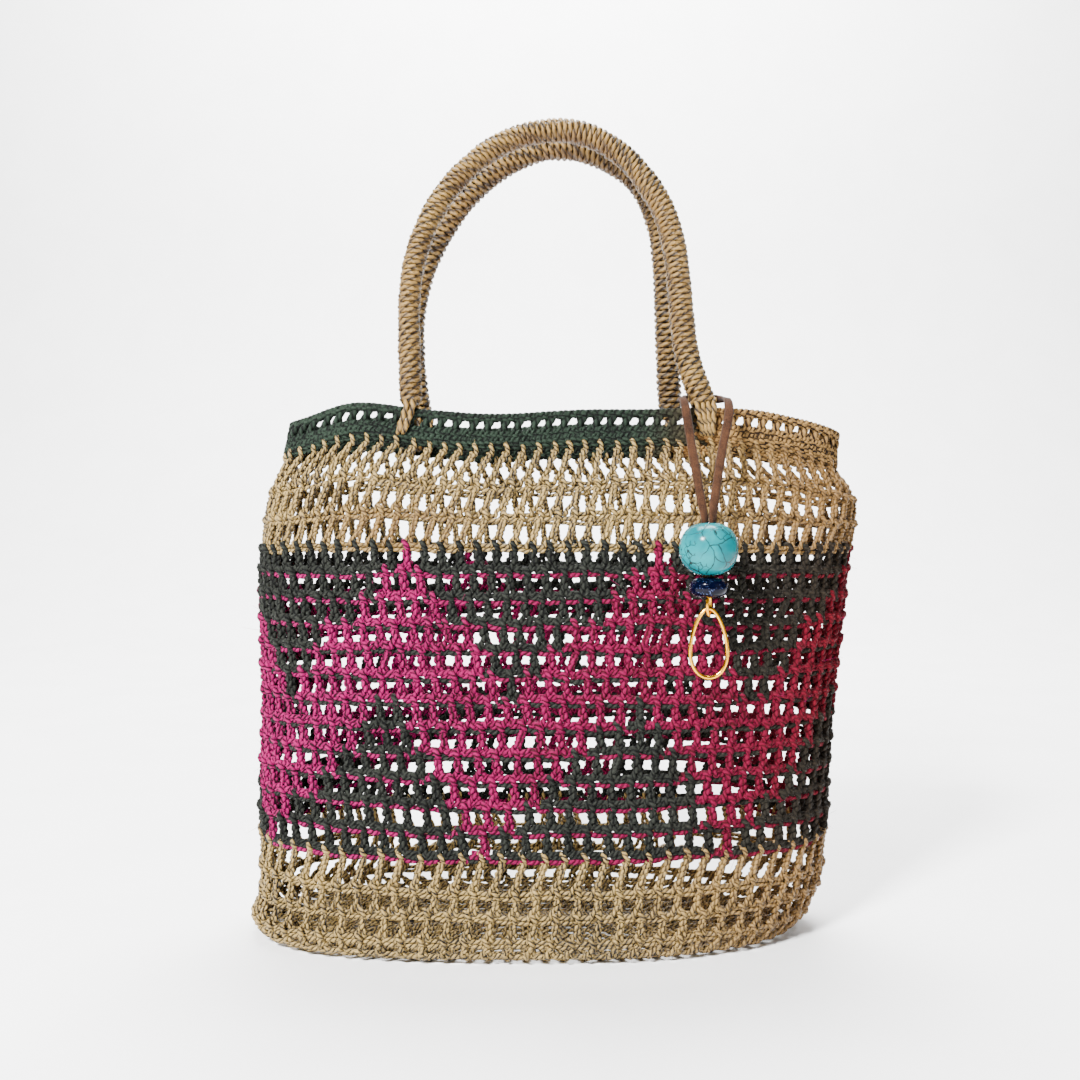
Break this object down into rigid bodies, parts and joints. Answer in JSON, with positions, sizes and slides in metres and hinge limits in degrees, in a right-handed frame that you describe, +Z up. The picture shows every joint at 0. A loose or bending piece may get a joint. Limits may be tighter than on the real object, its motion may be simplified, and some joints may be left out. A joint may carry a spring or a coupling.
{
  "type": "bilum string bag with two wrapped hoop handles and a bead charm",
  "caption": "Openwork knotted string bag, an upright oval with a flat base, a plaited rim, two stiff wrapped hoop handles and a bead charm on a suede lace.",
  "frame": {"origin": "centre of the bag's footprint, on the surface that its base stands on", "axes": "+Z up, -Y out of the front face that carries the charm, +X to the viewer's right"},
  "size_m": [0.243, 0.1195, 0.3247],
  "materials": {
    "natural_yarn": "matt plant-fibre yarn, two strands twisted",
    "dark_yarn": "matt charcoal plant-fibre yarn, hairy",
    "magenta_yarn": "matt magenta plant-fibre yarn",
    "green_yarn": "matt bottle-green plant-fibre yarn",
    "straw_yarn": "matt ochre plant-fibre yarn",
    "handle_cord": "two-ply grass cord wound tight over a stiff hoop",
    "suede_lace": "brown suede",
    "turquoise_stone": "polished, with fine dark veins",
    "navy_glass": "polished, with fine glitter",
    "gold_metal": "polished gold colour"
  },
  "bodies": {
    "root": {"bag_body": "natural_yarn", "rim_band_green": "green_yarn", "rim_band_straw": "straw_yarn", "handle_front": "handle_cord", "handle_back": "handle_cord", "lashing_front_left": "handle_cord", "lashing_front_right": "handle_cord", "lashing_back_left": "handle_cord", "lashing_back_right": "handle_cord", "charm_lace": "suede_lace", "bead_turquoise": "turquoise_stone", "bead_navy": "navy_glass", "charm_link": "gold_metal", "charm_hoop": "gold_metal"}
  },
  "joints": []
}
